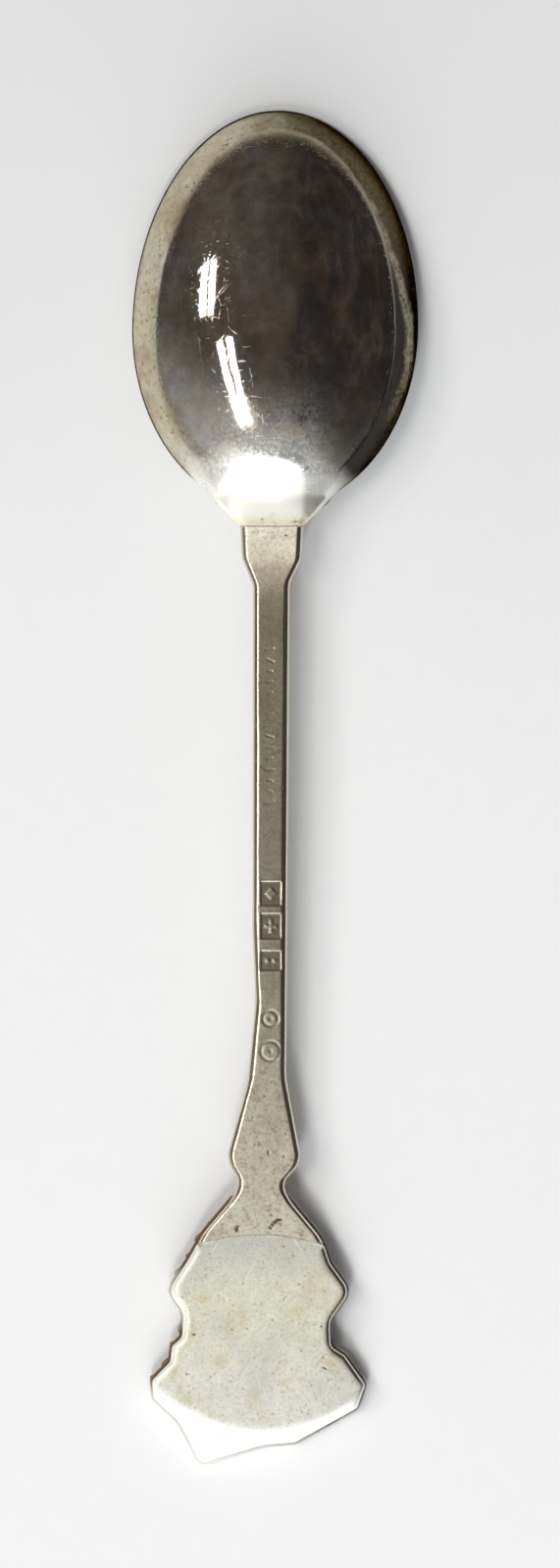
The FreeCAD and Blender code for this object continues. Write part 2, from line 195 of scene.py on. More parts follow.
STEM_RIGHT = [
    (3.2, 27.0, 0.3),
    (2.35, 22.2, 2.0),
    (2.2, 19.2, 1.6),
    (1.22, 17.2, 1.6),
    (0.92, -24.6, 9.0),
    (2.25, -31.7, 2.0),
    (0.5, NECK_Y - 0.1, 1.0),
]
STEM_LEFT = [
    (-2.85, NECK_Y, 1.5),
    (-4.15, -31.5, 2.2),
    (-2.35, -25.0, 9.0),
    (-1.68, -18.2, 9.0),
    (-1.92, -12.0, 20.0),
    (-1.86, 17.0, 1.6),
    (-2.8, 19.3, 1.6),
    (-2.95, 22.4, 2.0),
    (-3.8, 27.0, 0.3),
]
FINIAL = [
    (5.5, 4.6, 5.0),
    (6.15, 6.6, 1.2),
    (7.95, 9.1, 1.5),
    (6.15, 11.7, 1.6),
    (6.25, 13.7, 0.5),
    (7.35, 14.4, 0.5),
    (9.2, 17.0, 0.8),
    (8.45, 19.2, 0.8),
    (3.1, 22.2, 0.9),
    (0.3, 22.45, 3.0),
    (-5.1, 24.11, 0.9),
    (-7.0, 20.4, 3.0),
    (-9.2, 18.3, 0.7),
    (-9.3, 16.6, 0.75),
    (-7.75, 15.0, 0.5),
    (-7.6, 13.7, 0.75),
    (-6.75, 12.9, 0.6),
    (-6.65, 10.9, 1.4),
    (-8.0, 9.1, 1.5),
    (-6.2, 6.3, 1.6),
    (-4.9, 4.0, 4.0),
]
OVERHANG = 0.22  # the badge stands this far out past the plate
BADGE_TOP = [(-2.37, 1.0, 0.4), (2.57, 1.0, 0.4)]


def on_finial(corners):
    """Corners given from the finial's axis and from the neck, in the spoon's own frame."""
    return [(AXIS_X + offset, NECK_Y - distance, radius) for offset, distance, radius in corners]


def moved_in(line, step):
    """A dense clockwise outline moved inward by a distance, which may differ from point to point."""
    along = np.roll(line, -2, 0) - np.roll(line, 2, 0)
    along /= np.linalg.norm(along, axis=1)[:, None]
    inward = np.stack([along[:, 1], -along[:, 0]], 1)
    return line + inward * np.reshape(step, (-1, 1))


badge_line = rounded_line(on_finial(FINIAL + BADGE_TOP))
handle_line = rounded_line(STEM_RIGHT + on_finial(FINIAL) + STEM_LEFT)
past_neck = smooth_step(0.2, 1.6, NECK_Y - handle_line[:, 1])
handle_line = moved_in(handle_line, OVERHANG * past_neck)
lowest = int(np.argmin(handle_line[:, 1]))
right_edge, left_edge = handle_line[:lowest], handle_line[lowest:]


def edge_x(line, y, far_end=-39.5):
    """Where an edge of the stem or tang is at y."""
    kept = line[(line[:, 1] > far_end) & (line[:, 1] < 26.5)]
    kept = kept[np.argsort(kept[:, 1])]
    return np.interp(y, kept[:, 1], kept[:, 0])


def seam_y(x, radius):
    """The curved seam between tang and plate, at x, on a drum of that radius."""
    return NECK_Y - SEAM_TOP - SEAM_RADIUS + np.sqrt(radius**2 - (np.asarray(x) - AXIS_X) ** 2)


# ---------------------------------------------------------------- bowl

RIM_SHARE = math.sqrt(1 - (RIM_DROP / DOME_HEIGHT) ** 2)
DOME_SIDE, DOME_FRONT, DOME_REAR = (v / RIM_SHARE for v in (HALF_WIDTH, FRONT_REACH, REAR_REACH))
YAW_COS, YAW_SIN, TILT_COS = math.cos(YAW), math.sin(YAW), math.cos(TILT)
RIM_INSET = 0.03  # keeps the finer mesh inside its CAD solid
HOLLOW_INSET = WALL * 0.97

NECK_TURN = 27  # degrees to each side of -Y, seen from the bowl's middle, that take in the neck
NECK_AXIS_X = -0.3
NECK_SWEEP = 7.0  # the run over which the neck's back curves up
NECK_FAR_Y = 30.0  # where it stops following the arch
CREASE = 1.1  # reach of the filling between neck and bowl

# The web's slanting edge at each side of the neck: two places on it, and how far out it turns to the rim.
WEB_EDGES = (((-2.96, NECK_END_Y), (-5.5, 24.8), 4.9), ((2.37, NECK_END_Y), (4.9, 24.75), 4.4))
WEB_TURN = 0.9

rim_turn = np.array(Matrix.Rotation(-YAW, 3, "Z") @ Matrix.Rotation(-TILT, 3, "X"))
rim_middle = np.array([0.0, TIP_Y - FRONT_REACH * TILT_COS, FRONT_REACH * math.sin(TILT)])


def to_rim_plane(dx, dy):
    """A step seen from above, across and along the rim's tilted plane."""
    return YAW_COS * dx - YAW_SIN * dy, (YAW_SIN * dx + YAW_COS * dy) / TILT_COS


def from_rim_plane(u, v, height):
    return rim_middle + np.stack([u, v, height], -1) @ rim_turn.T


def rim_share(u, v):
    """How far out a place in the rim's plane is, from 0 at the bowl's middle to 1 at the rim."""
    return np.sqrt((u / HALF_WIDTH) ** 2 + (v / np.where(v > 0, FRONT_REACH, REAR_REACH)) ** 2)


def dome_height(u, v, inset=0.0):
    """Height over the rim's plane of the bowl's back, or of the hollow under it, at a place in that plane."""
    side = DOME_SIDE - inset
    reach = np.where(v > 0, DOME_FRONT, DOME_REAR) - inset
    left = 1 - (u / side) ** 2 - (v / reach) ** 2
    return (DOME_HEIGHT - inset) * np.sqrt(np.clip(left, 0, 1)) - RIM_DROP


def neck_top(x, y):
    """Height of the neck drawn out of the heel. It spreads, rounds over and sinks into the bowl's back."""
    past = np.clip(y - NECK_END_Y, 0, None)
    half_width = 2.64 + 1.02 * past
    squareness = 2.1 + 4.4 * (1 - smooth_step(0, 2.6, past))
    side_fall = 0.55 + 0.75 * past
    share = np.abs(x - NECK_AXIS_X) / half_width
    rounding = 1 - (1 - np.clip(share, 0, 1) ** squareness) ** (1 / squareness)
    drop = side_fall * rounding + 2.5 * half_width * np.clip(share - 1, 0, None)
    run = np.clip(y - SHOULDER_Y, 0, None)
    curved = np.clip(run, 0, NECK_SWEEP)
    beyond = run - curved
    rise = sweep(curved) + 0.24 * beyond - 0.08 * beyond**2
    return arch_z(np.minimum(y, NECK_FAR_Y)) + rise - drop


def bowl_outline():
    """Directions from the middle of the bowl, and the distance to the rim or the neck's end along each."""
    fine = np.linspace(-NECK_TURN, NECK_TURN, 260)
    coarse = np.linspace(NECK_TURN, 360 - NECK_TURN, 400)[1:-1]
    angles = np.radians(np.concatenate([fine, coarse]))  # from -Y, turning toward +X
    ux, uy = np.sin(angles), -np.cos(angles)
    rim = 1 / rim_share(*to_rim_plane(ux, uy)) - RIM_INSET
    rim_y = rim_middle[1]
    rearward = uy < -0.5
    neck = np.where(rearward, (rim_y - NECK_END_Y) / np.clip(-uy, 0.5, 1), 0)
    for near, far, turn_x in WEB_EDGES:
        # distance along each direction to the line through the edge's two places
        nx, ny = far[1] - near[1], near[0] - far[0]
        across = ux * nx + uy * ny
        to_edge = (near[0] * nx + (near[1] - rim_y) * ny) / np.where(np.abs(across) < 1e-6, 1e-6, across)
        same_side = (ux * near[0] > 0) & (to_edge > 0) & rearward
        to_edge -= WEB_TURN * np.clip(np.abs(ux * to_edge) - turn_x, 0, None)
        neck = np.where(same_side, np.minimum(neck, to_edge), neck)
    return ux, uy, smooth_max(rim, neck, CREASE)


def build_bowl():
    ux, uy, reach = bowl_outline()

    def on_plane(distance):
        """Places in the rim's plane that are seen at a distance from its middle along each direction."""
        return to_rim_plane(ux * distance, uy * distance)

    def on_back(share):
        u, v = on_plane(reach * share)
        points = from_rim_plane(u, v, dome_height(u, v))
        x, y, z = points.T
        relief = 0.010 * waver(x, y, 4, 7.0) + 0.003 * waver(x, y, 5, 2.5) - 0.005
        z = z + relief * smooth_step(0, 2.0, (1 - share) * reach)
        return np.stack([x, y, smooth_max(z, neck_top(x, y), CREASE)], 1)

    def on_rim(inset, height):
        u, v = on_plane(reach - inset)
        return from_rim_plane(u, v, np.full_like(u, height))

    def in_hollow(share):
        u, v = on_plane(1.0)
        side = HALF_WIDTH - HOLLOW_INSET
        far = np.where(uy < 0, REAR_REACH, FRONT_REACH) - HOLLOW_INSET
        hollow = share / np.sqrt((u / side) ** 2 + (v / far) ** 2)
        return from_rim_plane(u * hollow, v * hollow, dome_height(u * hollow, v * hollow, WALL))

    shares = np.sin(np.linspace(0.012, 1, 96) * math.acos(RIM_DROP / DOME_HEIGHT)) / RIM_SHARE
    back = [on_back(share) for share in (*shares[:-1], 0.9988)]
    edge = on_rim(0.0, 0.30)
    edge[:, 2] = np.maximum(edge[:, 2], on_back(1.0)[:, 2])
    lip = [edge]
    for inset, height in ((0.0, 0.16), (0.03, 0.08), (0.09, 0.02), (0.2, 0.0), (0.35, 0.0), (0.5, 0.0)):
        lip.append(on_rim(inset, height))
    hollow_edge = in_hollow(1.0)
    turn = hollow_edge - (0, 0, 0.05) - lip[-1]
    lip += [lip[-1] + turn * share for share in (0.35, 0.7)]
    loops = back + lip + [hollow_edge] + [in_hollow(share) for share in shares[::-1][2::2]]
    points, faces = loft(loops)
    points[:, 1] = np.maximum(points[:, 1], NECK_END_Y)
    points[:, 2] = np.maximum(points[:, 2], 0)
    on_neck = points[:, 2] > 3.6
    rim = [rim_share(*to_rim_plane(*(loop - rim_middle).T[:2])) for loop in loops]
    marks = {"rim": np.concatenate([*rim, [0, 0]]), "grime": pitted(points[:, 0], points[:, 1]) * on_neck}
    return make_piece("bowl_mesh", points, faces, ["bowl"], marks)


# ---------------------------------------------------------------- marks and pits


def lozenge(dx, dy):
    return dx + dy - 0.5


def cross(dx, dy):
    return np.minimum(np.maximum(dx - 0.13, dy - 0.55), np.maximum(dx - 0.5, dy - 0.13))


def two_dots(dx, dy):
    return np.hypot(dx - 0.3, dy) - 0.17


MARK_X, PUNCH_X, TICK_X = -0.35, -0.4, -0.45
# The middle and half length of each cartouche, and its sign.
CARTOUCHES = ((-9.0, 1.03, lozenge), (-11.75, 1.07, cross), (-14.65, 0.83, two_dots))
CARTOUCHE_HALF_WIDTH = 0.85
ROUND_PUNCHES = ((-19.55, 0.62), (-22.3, 0.8))  # middle and radius
MARK_DEPTH = 0.06


def bump(distance, width):
    """1 inside a shape whose signed distance is negative, fading to 0 over a width at its edge."""
    return 1 - smooth_step(-width / 2, width / 2, distance)


def stamped(x, y):
    """Depth of the marks in the stem's back: cartouches with plain signs, round punches and worn ticks."""
    depth = np.zeros(np.shape(x))
    dx = np.abs(x - MARK_X)
    for middle, half_length, sign in CARTOUCHES:
        dy = np.abs(y - middle)
        border = np.maximum(dx - CARTOUCHE_HALF_WIDTH, dy - half_length)
        depth += MARK_DEPTH * bump(border, 0.2) - 0.015 * bump(np.abs(border - 0.1) - 0.05, 0.14)
        depth -= 0.045 * bump(sign(dx, dy), 0.2)
    for middle, radius in ROUND_PUNCHES:
        away = np.hypot(x - PUNCH_X, y - middle)
        depth += 0.05 * bump(np.abs(away - radius) - 0.12, 0.2) + 0.045 * bump(away - 0.16, 0.2)
    rng = np.random.default_rng(21)
    for middle in np.arange(11.6, -2.2, -0.92):
        lean, half_length = rng.uniform(-0.5, 0.5), rng.uniform(0.2, 0.5)
        wear = rng.uniform(0.3, 1.0)
        dx, dy = x - TICK_X, y - middle
        tick = np.maximum(np.abs(dx + lean * dy) - half_length, np.abs(dy - lean * dx) - 0.06)
        depth += 0.035 * wear * bump(tick, 0.14)
    return depth


# Casting and solder pits: middle, half length and half width, and the turn of the long way from +X.
PITS = [
    (-3.27, -37.42, 0.17, 0.30, 0.25),
    (-3.18, -37.1, 0.08, 0.18, 0.1),
    (0.30, -36.6, 0.34, 0.15, 0.15),
    (0.02, -36.76, 0.32, 0.15, 0.65),
    (-0.22, -37.0, 0.32, 0.14, 0.9),
    (-0.40, -37.25, 0.24, 0.12, 1.1),
    (-0.37, -36.2, 0.12, 0.1, 0.0),
    (-0.72, -36.25, 0.07, 0.09, 0.0),
    (-0.6, -30.9, 0.08, 0.26, 0.0),
    (0.7, -31.2, 0.07, 0.12, 0.3),
    (-1.9, -27.9, 0.08, 0.08, 0.0),
    (-0.9, -26.1, 0.06, 0.1, 0.0),
    (0.1, -28.6, 0.07, 0.07, 0.0),
    (-1.55, -29.6, 0.07, 0.07, 0.0),
    (0.85, -29.3, 0.06, 0.12, 0.2),
    (-6.85, -46.35, 0.13, 0.1, 0.0),
    (3.9, -45.6, 0.09, 0.08, 0.0),
    (4.05, -48.3, 0.12, 0.06, 0.4),
    (4.2, -49.2, 0.07, 0.26, 1.1),
    (-1.1, 22.55, 0.12, 0.09, 0.0),
    (1.7, 22.35, 0.2, 0.1, 0.4),
    (0.9, 21.2, 0.14, 0.08, 0.2),
]
PIT_DEPTH = 0.03


def pitted(x, y):
    """How deep in a casting or solder pit a place is, from 0 to 1."""
    depth = np.zeros(np.shape(x))
    for cx, cy, half_length, half_width, turn in PITS:
        dx, dy = x - cx, y - cy
        along = (dx * math.cos(turn) + dy * math.sin(turn)) / half_length
        across = (dy * math.cos(turn) - dx * math.sin(turn)) / half_width
        depth = np.maximum(depth, np.exp(-((along**2 + across**2) ** 1.5)))
    return depth


# ---------------------------------------------------------------- stem

BEVEL, BEVEL_DEPTH = 0.58, 0.5
EDGE_STEPS = np.array([0.0, 0.012, 0.05, 0.11, 0.19, 0.28, 0.38, 0.48, BEVEL])
MARKED_FROM, MARKED_TO = 12.6, -24.4
BEND_RUN = 1.5  # how far before the neck the rows start to bend toward the seam's curve


def thickness(y):
    """Thickness of the handle at y."""
    return np.interp(y, [-34.6, NECK_Y, -19.5], [PLATE, PLATE, 1.75])


def handle_section(left, right):
    """Places across the handle's back from left to right, closest together over its rounded edges."""
    flat = left + BEVEL + np.linspace(0, 1, 38)[1:-1] * (right - left - 2 * BEVEL)
    return np.concatenate([left + EDGE_STEPS, flat, (right - EDGE_STEPS)[::-1]])


def loop_of(back, front):
    """A loop round the handle from the x, y and z of its points on the back and then on the front."""
    return np.concatenate([np.stack(back, 1), np.stack(front, 1)])


def stem_rows():
    """Where the rows of points lie along the stem: closest over the marks, and doubled at both ends."""
    marked = np.arange(MARKED_FROM, MARKED_TO, -0.07)[1:]
    tang = np.linspace(MARKED_TO, NECK_Y - SEAM_TOP + SEAM_GAP / 2, 130)
    rows = np.concatenate([np.linspace(SEAM_Y, MARKED_FROM, 80), marked, tang])
    return np.concatenate([rows[:1], [rows[0] - 0.01], rows[1:-1], [rows[-1] + 0.01], rows[-1:]])


def build_stem():
    radius = SEAM_RADIUS + SEAM_GAP / 2
    inward, upward = np.array([0, 0.05, 0.18]), np.array([0.2, 0.06, 0])  # rounding of the front's edges
    loops, grime, edges = [], [], []
    for row in stem_rows():
        share = smooth_step(0, 1, (NECK_Y + BEND_RUN - row) / (SEAM_TOP + BEND_RUN - SEAM_GAP / 2))

        def bent(x):
            return row + share * (seam_y(x, radius) - seam_y(AXIS_X, radius))

        left, right = edge_x(left_edge, row), edge_x(right_edge, row)
        for _ in range(6):
            left, right = edge_x(left_edge, bent(left)), edge_x(right_edge, bent(right))
        middle = (left + right) / 2
        x = handle_section(left, right)
        y = bent(x)
        inset = np.minimum(x - left, right - x)
        wander = 1 + 0.12 * waver(y, np.sign(x - middle) * 9.0, 8, 6.0)
        marks, pits = stamped(x, y), pitted(x, y)
        z = back_z(y) - edge_drop(inset, BEVEL * wander, BEVEL_DEPTH) + 0.006 * waver(x, y, 9, 3.0)
        z = z - marks - PIT_DEPTH * pits
        front = arch_z(row) - thickness(row)
        fx = np.concatenate([[right], right - inward, [middle], (left + inward)[::-1], [left]])
        fy = bent(fx)
        fz = arch_z(fy) - arch_z(row) + front + np.concatenate([[0], upward, [0], upward[::-1], [0]])
        fz[0], fz[-1] = (z[-1] + front + upward[0]) / 2, (z[0] + front + upward[0]) / 2
        loops.append(loop_of((x, y, z), (fx, fy, fz)))
        dirt = np.maximum(np.clip(marks / MARK_DEPTH, 0, 1) * 0.4, pits)
        grime.append(np.concatenate([dirt, np.zeros(len(fx))]))
        edges.append(np.concatenate([1 - smooth_step(0.35, 0.62, inset), np.ones(len(fx))]))
    points, faces = loft(loops)
    marks = {"grime": np.concatenate([*grime, [0, 0]]), "edge": np.concatenate([*edges, [0, 0]])}
    return make_piece("stem_mesh", points, faces, ["stem"], marks)


def build_bowl_solder():
    """A thin bead between the bowl's neck and the stem, a little uneven."""
    loops = []
    rows = (SEAM_Y, SEAM_Y + 0.01, SEAM_Y + 0.05, SEAM_Y + 0.11, NECK_END_Y - 0.01, NECK_END_Y)
    for y, proud in zip(rows, (0.0, 0.0, 0.008, 0.008, 0.0, 0.0)):
        left, right = edge_x(left_edge, y) - proud, edge_x(right_edge, y) + proud
        x = handle_section(left, right)
        inset = np.minimum(x - left, right - x)
        z = back_z(y) - edge_drop(inset, BEVEL, BEVEL_DEPTH) + proud * (1 + waver(x, y * 8, 12, 0.9))
        fx = np.array([right, right - 0.1, left + 0.1, left])
        fz = arch_z(SEAM_Y) - thickness(y) + np.array([0.2, 0, 0, 0.2])
        loops.append(loop_of((x, np.full_like(x, y), z), (fx, np.full_like(fx, y), fz)))
    points, faces = loft(loops)
    return make_piece("bowl_solder_bead", points, faces, ["bowl_solder_joint"])


# ---------------------------------------------------------------- finial plate

PLATE_BEVEL, PLATE_BEVEL_DEPTH = 0.72, 0.42
PLATE_MIDDLE = np.array([AXIS_X, NECK_Y - 13.0])


def margin_past(x, y):
    """How far a place is beyond the crease where the plate's far margin rolls over toward the front."""
    offset, distance = x - AXIS_X, NECK_Y - y
    return distance - 20.7 + np.where(offset > 0, 0.040, 0.046) * offset**2


def margin_drop(x, y):
    """How far the rolled margin has fallen there. The crease is rounded over a short way."""
    past = margin_past(x, y)
    soft = 0.45
    return 0.2 * np.where(past > soft, past, np.where(past > -soft, (past + soft) ** 2 / (4 * soft), 0.0))


def with_height(plan, z):
    return np.concatenate([plan, z[:, None]], 1)


def build_plate():
    radius = SEAM_RADIUS - SEAM_GAP / 2
    drum_y = NECK_Y - SEAM_TOP - SEAM_RADIUS
    in_drum = np.hypot(handle_line[:, 0] - AXIS_X, handle_line[:, 1] - drum_y) < radius - 0.02
    line = handle_line[in_drum & (handle_line[:, 1] < NECK_Y - SEAM_TOP)]
    seam_x = np.linspace(line[-1, 0], line[0, 0], 92)[1:-1]
    outline = np.concatenate([line, np.stack([seam_x, seam_y(seam_x, radius)], 1)])
    free = np.arange(len(outline)) < len(line)  # not along the seam

    def at(plan, under):
        x, y = plan.T
        return with_height(plan, back_z(y) - margin_drop(x, y) - under)

    def shrunk(step):
        """The outline moved in, with the folds this makes at tight corners smoothed away."""
        moved = moved_in(outline, step * np.where(free, 1, 0.03))
        for _ in range(int(step / 0.05)):
            eased = (np.roll(moved, 1, 0) + np.roll(moved, -1, 0)) / 2
            moved = np.where(free[:, None], (moved + eased) / 2, moved)
        return moved

    loops, shine = [], []
    innermost = shrunk(PLATE_BEVEL)
    for share in np.linspace(0.004, 1, 64):
        plan = PLATE_MIDDLE + (innermost - PLATE_MIDDLE) * share
        x, y = plan.T
        loops.append(at(plan, 0.004 * waver(x, y, 31, 2.6) + PIT_DEPTH * pitted(x, y)))
        shine.append(np.zeros(len(plan)))
    for inset in (0.58, 0.45, 0.34, 0.25, 0.17, 0.1, 0.05, 0.012, 0.0):
        plan = shrunk(inset) if inset else outline
        loops.append(at(plan, edge_drop(np.where(free, inset, PLATE_BEVEL), PLATE_BEVEL, PLATE_BEVEL_DEPTH)))
        shine.append(np.where(free, np.interp(inset, [0.12, 0.62], [1, 0]), 0))
    loops.append(with_height(outline, back_z(outline[:, 1]) - PLATE + 0.02))
    for share in (0.97, 0.5, 0.02):
        plan = PLATE_MIDDLE + (outline - PLATE_MIDDLE) * share
        loops.append(with_height(plan, back_z(plan[:, 1]) - PLATE))
    shine += [np.ones(len(outline))] * (len(loops) - len(shine))  # the side and the front
    points, faces = loft(loops)
    x, y, z = points.T
    marks = {
        "grime": pitted(x, y) * (z > back_z(y) - 0.5),
        "edge": np.concatenate([*shine, [0, 1]]),
        "margin": smooth_step(-0.25, 0.45, margin_past(x, y)),
    }
    return make_piece("finial_plate_mesh", points, faces, ["finial_plate"], marks)


def build_finial_solder():
    """The thin strip of solder along the curved seam, ground flush and a little hollow."""
    outer, inner = SEAM_RADIUS + SEAM_GAP / 2, SEAM_RADIUS - SEAM_GAP / 2
    left, right = edge_x(left_edge, -38.3), edge_x(right_edge, -38.3)
    for _ in range(6):
        left, right = edge_x(left_edge, seam_y(left, outer)), edge_x(right_edge, seam_y(right, outer))
    flat = np.linspace(left + 0.6, right - 0.6, 110)[1:-1]
    loops = []
    for x in np.concatenate([left + EDGE_STEPS, flat, (right - EDGE_STEPS)[::-1]]):
        near, far = float(seam_y(x, outer)), float(seam_y(x, inner))
        middle = (near + far) / 2
        top = float(back_z(middle) - edge_drop(min(x - left, right - x), BEVEL, BEVEL_DEPTH))
        sunk = 0.006 + 0.005 * float(waver(x, 0.0, 14, 1.2))
        low = float(back_z(near)) - PLATE
        across = [(near, 0), (near - 0.008, 0), (middle + 0.03, sunk)]
        across += [(middle - 0.03, sunk), (far + 0.008, 0), (far, 0)]
        loops.append([(x, y, top - dip) for y, dip in across] + [(x, far, low), (x, near, low)])
    points, faces = loft(loops)
    return make_piece("finial_solder_strip", points, faces, ["finial_solder_seam"])


# ---------------------------------------------------------------- badge

LOBE_PITCH, LUMP_PITCH = 1.35, 1.7
BORDER_SIDES = 10


def build_badge():
    """The struck badge: its CAD solid with an uneven beaded border round the edge."""
    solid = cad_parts["badge_frame"].data
    points = np.array([v.co for v in solid.vertices]) / MM
    faces = [tuple(f.vertices) for f in solid.polygons]
    line = badge_line[::2]
    run = np.cumsum(np.linalg.norm(np.roll(line, -1, 0) - line, axis=1))
    on_left = smooth_step(3.0, 6.0, AXIS_X - line[:, 0]) * smooth_step(18.5, 17.0, NECK_Y - line[:, 1])
    lobes = 0.16 + 0.07 * np.abs(np.sin(run * math.pi / LOBE_PITCH)) + 0.05 * waver(run, 0.0, 17, 3.0)
    lobes = lobes + 0.12 * on_left
    lumps = np.sin(run * 2 * math.pi / LUMP_PITCH) + 0.5 * waver(run, 0.0, 19, 2.0)
    middle = moved_in(line, lobes + 0.02 - 0.24 * on_left * np.clip(lumps, 0, 1))
    tube = []
    for k in range(BORDER_SIDES):
        angle = 2 * math.pi * k / BORDER_SIDES
        plan = moved_in(middle, -lobes * math.cos(angle))
        plan[:, 0] = np.maximum(plan[:, 0], badge_line[:, 0].min())
        tube.append(with_height(plan, back_z(plan[:, 1]) - PLATE - 0.42 + lobes * 1.05 * math.sin(angle)))
    start, count = len(points), len(line)
    for k in range(BORDER_SIDES):
        here, ahead = start + k * count, start + (k + 1) % BORDER_SIDES * count
        for j in range(count):
            m = (j + 1) % count
            faces.append((here + j, here + m, ahead + m, ahead + j))
    points = np.concatenate([points, *tube])
    return make_piece("struck_badge", points, faces, ["badge_frame"])


# ---------------------------------------------------------------- materials


class Nodes:
    """Short names for building a node tree. A value is a number, a colour or another node's output."""

    def __init__(self, tree):
        self.tree = tree

    def add(self, kind, inputs=None, **props):
        node = self.tree.nodes.new(kind)
        for key, value in props.items():
            setattr(node, key, value)
        for key, value in (inputs or {}).items():
            self.put(node.inputs[key], value)
        return node

    def put(self, socket, value):
        if isinstance(value, bpy.types.NodeSocket):
            self.tree.links.new(value, socket)
        else:
            socket.default_value = value

    def chain(self, operation, total, *values):
        for value in values:
            node = self.add("ShaderNodeMath", operation=operation)
            self.put(node.inputs[0], total)
            self.put(node.inputs[1], value)
            total = node.outputs[0]
        return total

    def plus(self, *values):
        return self.chain("ADD", *values)

    def minus(self, *values):
        return self.chain("SUBTRACT", *values)

    def times(self, *values):
        return self.chain("MULTIPLY", *values)

    def largest(self, *values):
        return self.chain("MAXIMUM", *values)

    def about_nought(self, noise, reach):
        """A noise from 0 to 1, moved and scaled to a whole reach about nought."""
        return self.times(self.minus(noise, 0.5), reach)

    def mix(self, share, a, b, blend="MIX"):
        node = self.add("ShaderNodeMix", data_type="RGBA", blend_type=blend)
        self.put(node.inputs[0], share)
        for socket, value in ((node.inputs[6], a), (node.inputs[7], b)):
            self.put(socket, value if isinstance(value, bpy.types.NodeSocket) else (*value, 1.0))
        return node.outputs[2]

    def coats(self, color, *coats):
        """A colour with others laid over it in turn, each by its own share."""
        for share, over in coats:
            color = self.mix(share, color, over)
        return color

    def span(self, value, low, high, to_low=0.0, to_high=1.0, kind="LINEAR"):
        node = self.add("ShaderNodeMapRange", interpolation_type=kind)
        for index, item in enumerate((value, low, high, to_low, to_high)):
            self.put(node.inputs[index], item)
        return node.outputs[0]

    def ease(self, value, low, high, to_low=0.0, to_high=1.0):
        """A span with soft ends."""
        return self.span(value, low, high, to_low, to_high, "SMOOTHSTEP")

    def ramp(self, axis, start, end, to_low=0.0, to_high=1.0):
        """A span between two places on an axis, in millimetres."""
        return self.span(axis, start * MM, end * MM, to_low, to_high)

    def fade(self, axis, start, end, to_low=0.0, to_high=1.0):
        """A ramp with soft ends."""
        return self.ease(axis, start * MM, end * MM, to_low, to_high)

    def noise(self, where, scale, detail, rough, warp=0.0):
        inputs = {"Vector": where, "Scale": scale, "Detail": detail, "Roughness": rough, "Distortion": warp}
        return self.add("ShaderNodeTexNoise", inputs).outputs["Fac"]

    def mark(self, name):
        return self.add("ShaderNodeAttribute", attribute_name=name).outputs["Fac"]

    def parts(self, vector):
        return list(self.add("ShaderNodeSeparateXYZ", {"Vector": vector}).outputs)

    def bumps(self, *layers, strength=1.0):
        """A normal from layers of relief, each a height and its reach in millimetres."""
        normal = None
        for height, reach in layers:
            inputs = {"Height": height, "Distance": reach * MM, "Strength": strength}
            node = self.add("ShaderNodeBump", inputs)
            if normal:
                self.put(node.inputs["Normal"], normal)
            normal = node.outputs[0]
        return normal


def new_material(name):
    """A material, its nodes, its surface's inputs and the place on the spoon, whose parts are in metres."""
    material = bpy.data.materials.new(name)
    material.use_nodes = True
    n = Nodes(material.node_tree)
    surface = material.node_tree.nodes["Principled BSDF"].inputs
    return material, n, surface, n.add("ShaderNodeTexCoord").outputs["Object"]


def scratches(n, place, turns, scale, stretch, cover):
    """Thin straight scratches in several directions, as a value from 0 to 1."""
    groups = []
    for index, turn in enumerate(turns):
        mapped = n.add("ShaderNodeMapping", {"Vector": place}, vector_type="TEXTURE")
        mapped.inputs["Rotation"].default_value = (0, 0, math.radians(turn))
        mapped.inputs["Location"].default_value = (0.013 * index, 0.007 * index, 0)
        mapped.inputs["Scale"].default_value = (1 / scale, stretch / scale, 1 / scale)
        groups.append(n.span(n.noise(mapped.outputs[0], 1.0, 2.0, 0.5, 0.15), cover, cover + 0.03))
    return n.largest(*groups)


STAIN = (0.33, 0.25, 0.12)


def joint_stain(n, place):
    """Where brown flux and tarnish are left about the joint of bowl and stem."""
    x, y, _ = n.parts(place)
    about = n.times(n.ramp(y, 20.4, 21.4), n.ramp(y, 23.4, 22.4), n.ramp(x, -2.2, 0.6, 0.15, 1))
    return n.times(about, n.span(n.noise(place, 1500, 4, 0.65, 0.5), 0.50, 0.66, 0, 0.75))


def bowl_margin(n, x, y, blotch, grain):
    """Shares of the ragged tarnished margin, the crest paled by wear along its right side, and the rim's
    edge.
    """
    ragged = n.plus(n.mark("rim"), n.about_nought(blotch, 0.09), n.about_nought(grain, 0.03))
    toward_right = n.fade(x, 0.5, 7.0)
    inner = n.minus(ragged, n.times(n.fade(y, 51.0, 35.0, 0, 0.115), toward_right))
    margin = n.times(n.ease(inner, 0.79, 0.86), n.fade(y, 24.5, 31.0))
    crest = n.times(n.ease(inner, 0.79, 0.83), n.ease(inner, 0.875, 0.84))
    return margin, n.times(crest, toward_right, n.ramp(y, 30.0, 36.0)), n.ease(ragged, 0.965, 1.0)


